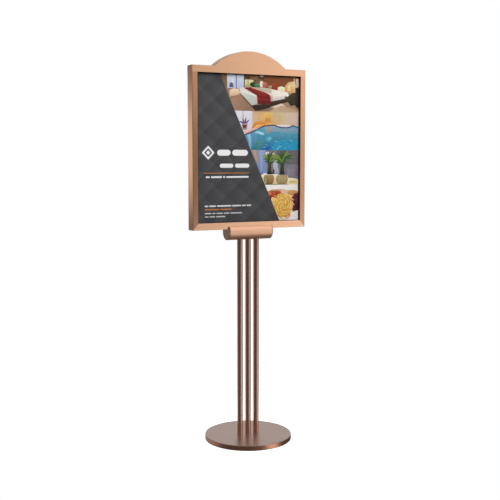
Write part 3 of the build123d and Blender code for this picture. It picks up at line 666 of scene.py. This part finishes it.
def dark_panel():
    """The quilted dark panel and its plain bars, which stand for words."""
    shapes = [Shape([(-10, -10), (EDGE_BOTTOM_X + 4.6, -10), (EDGE_TOP_X - 4.6, OPEN_H + 10),
                     (-10, OPEN_H + 10)], DARK)]
    for reach, colour in ((27, WHITE), (17, DARK), (9, WHITE)):
        shapes.append(Shape(diamond(50, 272, reach), colour))
    # Each row: height of its middle, height of its bars, colour, and where each bar starts and ends.
    rows = [
        (272, 23, WHITE, ((88, 146), (153, 222))),
        (221.5, 16, WHITE, ((99, 158), (165, 228))),
        (193, 2.4, ORANGE, ((30, 226),)),
        (177.5, 6.4, WHITE, ((39, 56), (61, 108), (113, 122), (127, 225))),
        (65, 5.6, (226, 226, 226), ((34, 50), (54, 82), (86, 148), (152, 192), (196, 212), (216, 236))),
        (51.5, 4.4, ORANGE, ((34, 96), (100, 150))),
        (36.5, 4.4, (208, 208, 208), ((34, 62), (66, 80), (84, 112), (116, 140), (144, 196))),
        (23.5, 4.4, (208, 208, 208), ((34, 50), (54, 78), (82, 122))),
    ]
    for z, height, colour, words in rows:
        for x0, x1 in words:
            shapes.append(Shape(pill(x0, x1, z, height), colour))
    return shapes


# ---- poster -------------------------------------------------------------------
SHEET_SIDES = ((SHEET_LOW[0] - OPEN_X) / MM, (SHEET_HIGH[0] - OPEN_X) / MM,
               (SHEET_LOW[2] - OPEN_Z) / MM, (SHEET_HIGH[2] - OPEN_Z) / MM)


def clipped(points, low_x, high_x, low_z, high_z):
    """An outline kept inside a rectangle, edge by edge."""
    sides = ((0, low_x, True), (0, high_x, False), (1, low_z, True), (1, high_z, False))
    for axis, limit, keep_above in sides:
        kept = []
        count = len(points)
        for i in range(count):
            a = points[i]
            b = points[(i + 1) % count]
            a_in = (a[axis] >= limit) if keep_above else (a[axis] <= limit)
            b_in = (b[axis] >= limit) if keep_above else (b[axis] <= limit)
            if a_in:
                kept.append(a)
            if a_in != b_in:
                t = (limit - a[axis]) / (b[axis] - a[axis])
                kept.append((a[0] + t * (b[0] - a[0]), a[1] + t * (b[1] - a[1])))
        points = kept
        if not points:
            return []
    return points


def art_layers():
    """Every shape of the artwork from back to front, each kept inside its picture and the sheet."""
    low_x, high_x, low_z, high_z = SHEET_SIDES
    limits = [low_z] + list(BAND_Z[1:-1]) + [high_z]
    layers = []
    for maker, low, high in zip((dishes, plants, pool, bedroom), limits, limits[1:]):
        for shape in maker():
            shape.keep(clipped(shape.points, low_x, high_x, low, high))
            if shape.points:
                layers.append(shape)
    for shape in dark_panel():
        shape.keep(clipped(shape.points, *SHEET_SIDES))
        layers.append(shape)
    return layers


def partition(outlines):
    """The points and faces of one flat mesh whose edges follow every outline, on a staggered grid."""
    low_x, high_x, low_z, high_z = SHEET_SIDES
    points = []
    edges = []
    for outline in outlines:
        start = len(points)
        points += [Vector(p) for p in outline]
        edges += [(start + i, start + (i + 1) % len(outline)) for i in range(len(outline))]
    for i in range(1, int((high_x - low_x) / GRID_STEP)):
        for j in range(1, int((high_z - low_z) / GRID_STEP)):
            points.append(Vector((low_x + (i + 0.5 * (j % 2)) * GRID_STEP, low_z + j * GRID_STEP)))
    flat, _, faces, _, _, _ = delaunay_2d_cdt(points, edges, [], 0, MERGE_BELOW)
    return flat, faces


def colour_faces(mesh, flat, layers, ground):
    """Each face's corners in the colours of the topmost shape that holds its middle."""
    colours = mesh.color_attributes.new(ART, "FLOAT_COLOR", "CORNER")
    for polygon in mesh.polygons:
        corners = [flat[v] for v in polygon.vertices]
        x = sum(c.x for c in corners) / len(corners)
        z = sum(c.y for c in corners) / len(corners)
        top = next((shape for shape in reversed(layers) if shape.holds(x, z)), ground)
        for loop, corner in zip(polygon.loop_indices, corners):
            colours.data[loop].color = top.paint(corner.x, corner.y)


def build_poster():
    """The printed sheet, in place of the CAD's plain one."""
    low_x, high_x, low_z, high_z = SHEET_SIDES
    ground = Shape(rect(low_x, low_z, high_x, high_z), (244, 242, 238))
    layers = art_layers()
    flat, faces = partition([shape.points for shape in [ground] + layers])
    front_y = SHEET_LOW[1] + AIR_GAP
    verts = [(OPEN_X + p.x * MM, front_y, OPEN_Z + p.y * MM) for p in flat]
    mesh = bpy.data.meshes.new("poster_print")
    mesh.from_pydata(verts, [], [list(face) for face in faces])
    colour_faces(mesh, flat, layers, ground)
    if sum(p.normal.y for p in mesh.polygons) > 0:
        mesh.flip_normals()
    mesh.materials.append(printed_paper())
    poster = bpy.data.objects.new("poster_print", mesh)
    bpy.context.scene.collection.objects.link(poster)
    thickness = poster.modifiers.new("thickness", "SOLIDIFY")
    thickness.thickness = SHEET_HIGH[1] - front_y
    thickness.offset = -1
    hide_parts("poster_sheet")
    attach(poster, "stand")


def quilting(n, art):
    """The factor that shades the dark panel as padded diamonds, and is 1 on every other colour."""
    at = n.split(n.place())
    across = n.math("DIVIDE", n.math("SUBTRACT", at["X"], OPEN_X + TILE_X * MM), TILE_W * MM)
    up = n.math("DIVIDE", n.math("SUBTRACT", at["Z"], OPEN_Z + TILE_Z * MM), TILE_H * MM)
    u = n.math("FRACT", n.math("ADD", across, up))
    v = n.math("FRACT", n.math("SUBTRACT", across, up))
    slope = n.math("MULTIPLY", n.math("ADD", u, v), 0.5)
    quilt = n.remap(slope, 0.0, 1.0, *QUILT_SHADES, smooth=False)
    channels = n.add("ShaderNodeSeparateColor", {0: art}).outputs
    brightest = n.math("MAXIMUM", n.math("MAXIMUM", channels[0], channels[1]), channels[2])
    dullest = n.math("MINIMUM", n.math("MINIMUM", channels[0], channels[1]), channels[2])
    is_grey = n.remap(n.math("SUBTRACT", brightest, dullest), 0.004, 0.012, 1.0, 0.0)
    is_dark = n.remap(brightest, 0.075, 0.1, 1.0, 0.0)
    strength = n.math("MULTIPLY", is_grey, is_dark)
    return n.math("ADD", n.math("MULTIPLY", n.math("SUBTRACT", quilt, 1.0), strength), 1.0)


def printed_paper():
    """Satin print: the artwork's colours, quilted shading where it is dark, and a faint paper grain."""
    material, n = new_material("printed_paper")
    art = n.add("ShaderNodeVertexColor", layer_name=ART).outputs["Color"]
    shade = n.mix(1.0, art, n.grey(quilting(n, art)), "MULTIPLY")
    grain = n.noise(n.place(), 900.0, 3.0, 0.6)
    shade = n.mix(1.0, shade, n.grey(n.remap(grain, *NOISE, 0.97, 1.03)), "MULTIPLY")
    rough = n.remap(grain, *NOISE, 0.5, 0.58)
    shader = n.finish(Base_Color=shade, Roughness=rough, Normal=n.bump(grain, 0.05, 0.1 * MM))
    shader.inputs["Specular IOR Level"].default_value = 0.15
    return material


# ---- dress the frame ----------------------------------------------------------
EASED = ("stile_left", "stile_right", "bottom_rail", "header_front", "header_back", "rear_door",
         "clamp_saddle", "base_cover")
EASE_WIDTH = 0.4 * MM
EASE_ABOVE_DEGREES = 50


def slot_materials():
    """The material of each slot in the CAD record."""
    board = plain("foam_board", srgb(232, 232, 230), 0.7, scale=30, spread=0.03)
    return {
        "bronze_steel": brushed("bronze_brushed_x", BRONZE_FLAT, "x", 0.34, 0.4),
        "dark_bronze": brushed("dark_bronze", srgb(150, 112, 90), "z", 0.35, 0.3),
        "cast_iron": plain("cast_iron", srgb(58, 58, 60), 0.7, 0.6, scale=90, spread=0.25, bump=0.5),
        "zinc_steel": plain("zinc_steel", srgb(186, 188, 192), 0.35, 1.0, scale=150),
        "aluminium": plain("aluminium", srgb(206, 208, 212), 0.4, 1.0, scale=80),
        "rubber": plain("rubber", srgb(22, 21, 21), 0.75, scale=40),
        "foam_rubber": plain("foam_rubber", srgb(38, 38, 40), 0.9, scale=300, bump=0.5),
        "foam_board": board,
        "black_plastic": plain("black_plastic", srgb(28, 28, 29), 0.5, scale=50),
        "printed_paper": board,     # only the CAD's own sheet, which the print replaces
        "clear_acrylic": acrylic(),
    }


def node_materials():
    """The bronze members whose grain is their own, whatever their slot's material is. Their tones are lighter
    and darker copies of one bronze: painted light and shade on each member.
    """
    upright = brushed("bronze_brushed_z", BRONZE, "z", 0.17, 0.5)
    tube = brushed("bronze_tube", srgb(208, 160, 140), "z", 0.26)
    cap = plain("end_cap", srgb(156, 122, 105), 0.4, 1.0, scale=90, spread=0.06)
    own = {
        "clamp_tube": brushed("bronze_clamp", srgb(245, 193, 159), "x", 0.42, 0.3),
        "clamp_saddle": brushed("bronze_saddle", srgb(228, 178, 148), "x", 0.42, 0.3),
        "bottom_rail": brushed("bronze_rail", srgb(247, 195, 158), "x", 0.34, 0.4),
    }
    # the base's top is painted paler and greyer than its rim: painted light from above
    own["base_cover"] = brushed("bronze_spun", srgb(196, 142, 116), "spun", 0.3, 0.0, 0.05,
                                painted_top_light_colour=srgb(208, 182, 169))
    own.update(dict.fromkeys(("stile_left", "stile_right", "header_rim", "rear_door"), upright))
    own.update(dict.fromkeys(("tube_left", "tube_centre", "tube_right"), tube))
    own.update(dict.fromkeys(("clamp_end_left", "clamp_end_right"), cap))
    return own


def ease_edges(piece):
    """Slightly rounded edges, which catch the light."""
    ease = piece.modifiers.new("eased_edges", "BEVEL")
    ease.width = EASE_WIDTH
    ease.segments = 2
    ease.limit_method = "ANGLE"
    ease.angle_limit = math.radians(EASE_ABOVE_DEGREES)


def dress():
    """A material on every CAD node, and eased edges on the folded sheet."""
    by_slot = slot_materials()
    by_node = node_materials()
    slots = {part["node"]: part["material_slot"] for part in frame["record"]["subparts"]}
    for node, piece in frame["nodes"].items():
        for slot in piece.material_slots:
            slot.material = by_node.get(node, by_slot[slots[node]])
        if node in EASED:
            ease_edges(piece)


# ---- studio -------------------------------------------------------------------
# What the metal sees. Each panel: azimuth from straight in front (towards +X), half width and its soft
# edge, lowest and highest elevation and their soft edge, strength. Angles are in degrees.
Panel = namedtuple("Panel", "azimuth half edge low high rise strength")
PANELS = (
    Panel(42.0, 12.0, 10.0, -30.0, 60.0, 24.0, 1.22),       # tall bright strip at the front right
    Panel(30.0, 45.0, 20.0, -3.5, 0.5, 3.5, -0.50),         # shade round the horizon, at the front right
    Panel(8.0, 12.0, 16.0, -16.0, -6.0, 5.0, 0.22),         # low patch in front
    Panel(-155.0, 16.0, 20.0, -0.5, 1.5, 4.5, 0.86),        # narrow level strip behind on the left
    Panel(150.0, 20.0, 45.0, 10.0, 45.0, 18.0, 0.27),       # broad patch behind on the right
    Panel(-165.0, 40.0, 25.0, -45.0, -9.0, 4.5, 0.38),      # low patch behind
    Panel(0.0, 170.0, 10.0, 12.0, 79.0, 10.0, 0.20),        # glow overhead, nearly all round
)
AMBIENT = 0.12
DARKEST = 0.02
MATT_SHARE = 0.45           # the share of this light that matt surfaces get


def direction(azimuth, elevation):
    """A unit vector: azimuth 0 is -Y, 90 is +X."""
    a = math.radians(azimuth)
    e = math.radians(elevation)
    return Vector((math.sin(a) * math.cos(e), -math.cos(a) * math.cos(e), math.sin(e)))


def panel_light(n, panel, flat, level):
    """One panel's light for a ray with this level direction and this height."""
    def cosine(degrees):
        return math.cos(math.radians(degrees))

    def sine(degrees):
        return math.sin(math.radians(degrees))

    facing = n.vector("DOT_PRODUCT", flat, tuple(direction(panel.azimuth, 0)))["Value"]
    wide = n.remap(facing, cosine(panel.half + panel.edge), cosine(panel.half))
    above = n.remap(level, sine(panel.low - panel.rise), sine(panel.low))
    below = n.remap(level, sine(panel.high), sine(panel.high + panel.rise), 1.0, 0.0)
    window = n.math("MULTIPLY", n.math("MULTIPLY", above, below), wide)
    return n.math("MULTIPLY", window, panel.strength)


def studio_world():
    """White to the camera; soft light areas on a dim room for what the metal reflects."""
    world = bpy.data.worlds.new("studio")
    bpy.context.scene.world = world
    world.use_nodes = True
    n = Nodes(world.node_tree)
    ray = n.add("ShaderNodeTexCoord").outputs["Generated"]
    level = n.split(ray)["Z"]
    flat = n.vector("NORMALIZE", n.vector("MULTIPLY", ray, (1, 1, 0))[0])[0]
    total = AMBIENT
    for panel in PANELS:
        total = n.math("ADD", panel_light(n, panel, flat, level), total)
    total = n.math("MAXIMUM", total, DARKEST)
    light = n.add("ShaderNodeLightPath").outputs
    total = n.math("MULTIPLY", total, n.remap(light["Is Glossy Ray"], 0.0, 1.0, MATT_SHARE, 1.0))
    soft = n.add("ShaderNodeBackground", {"Color": n.grey(total), "Strength": 1.0}).outputs[0]
    white = n.add("ShaderNodeBackground", {"Color": (1, 1, 1, 1), "Strength": 1.0}).outputs[0]
    mixed = n.add("ShaderNodeMixShader", {0: light["Is Camera Ray"], 1: soft, 2: white}).outputs[0]
    n.add("ShaderNodeOutputWorld", {"Surface": mixed})


LIGHT_DISTANCE = 3.5
SIGN_CENTRE = (0.0, 0.0, OPEN_Z + OPEN_H * MM / 2)
LOW_ON_POSTS = (0.0, 0.0, 0.3)


def area_light(name, azimuth, elevation, size, power, target):
    """A large soft light aimed at a point, not seen in the metal."""
    data = bpy.data.lights.new(name, "AREA")
    data.shape = "DISK"
    data.size = size
    data.energy = power
    lamp = bpy.data.objects.new(name, data)
    bpy.context.scene.collection.objects.link(lamp)
    lamp.location = Vector(target) + direction(azimuth, elevation) * LIGHT_DISTANCE
    aim = (Vector(target) - lamp.location).to_track_quat("-Z", "Y")
    lamp.rotation_euler = aim.to_euler()
    lamp.visible_glossy = False


def lights():
    """Soft light from the front, from above and from behind."""
    area_light("front_soft", azimuth=-20, elevation=30, size=2.5, power=125, target=SIGN_CENTRE)
    area_light("top_soft", azimuth=0, elevation=80, size=3.0, power=25, target=LOW_ON_POSTS)
    area_light("back_soft", azimuth=165, elevation=30, size=2.5, power=60, target=SIGN_CENTRE)


FLOOR_HALF = 9.0
FLOOR_FADE = (0.25, 0.9)    # distances from the stand's axis where the floor starts to fade and is gone
FLOOR_GLOW = 0.6


def floor():
    """A pale floor that fades into the white room."""
    mesh = bpy.data.meshes.new("floor")
    corners = rect(-FLOOR_HALF, -FLOOR_HALF, FLOOR_HALF, FLOOR_HALF)
    mesh.from_pydata([(x, y, 0) for x, y in corners], [], [(0, 1, 2, 3)])
    ground = bpy.data.objects.new("floor", mesh)
    bpy.context.scene.collection.objects.link(ground)
    material, n = new_material("pale_floor")
    speckle = n.noise(n.place(), 30.0, 3.0)
    shade = n.mix(n.remap(speckle, *NOISE), (0.9, 0.9, 0.9, 1), (0.93, 0.93, 0.93, 1))
    reach = n.vector("LENGTH", n.place())["Value"]
    shader = n.finish(Base_Color=shade, Roughness=0.9, Alpha=n.remap(reach, *FLOOR_FADE, 1.0, 0.0))
    shader.inputs["Emission Color"].default_value = (1, 1, 1, 1)
    shader.inputs["Emission Strength"].default_value = FLOOR_GLOW
    mesh.materials.append(material)
    ground.visible_glossy = False


CAMERA_PLACE = (-1.6217, -3.1781, 1.1321)
CAMERA_TURN = (83.85, 0.0, -27.14)
LENS_MM = 64.59
SENSOR_MM = 36.0
SHIFT = (0.0007, 0.0113)


def camera():
    """The viewing angle: front left, level with the sign's middle."""
    data = bpy.data.cameras.new("camera")
    data.lens = LENS_MM
    data.sensor_width = SENSOR_MM
    data.shift_x, data.shift_y = SHIFT
    eye = bpy.data.objects.new("camera", data)
    bpy.context.scene.collection.objects.link(eye)
    eye.location = CAMERA_PLACE
    eye.rotation_euler = [math.radians(a) for a in CAMERA_TURN]
    bpy.context.scene.camera = eye


camera()
floor()
studio_world()
lights()
build_poster()
dress()
bpy.context.scene.view_settings.view_transform = "Standard"
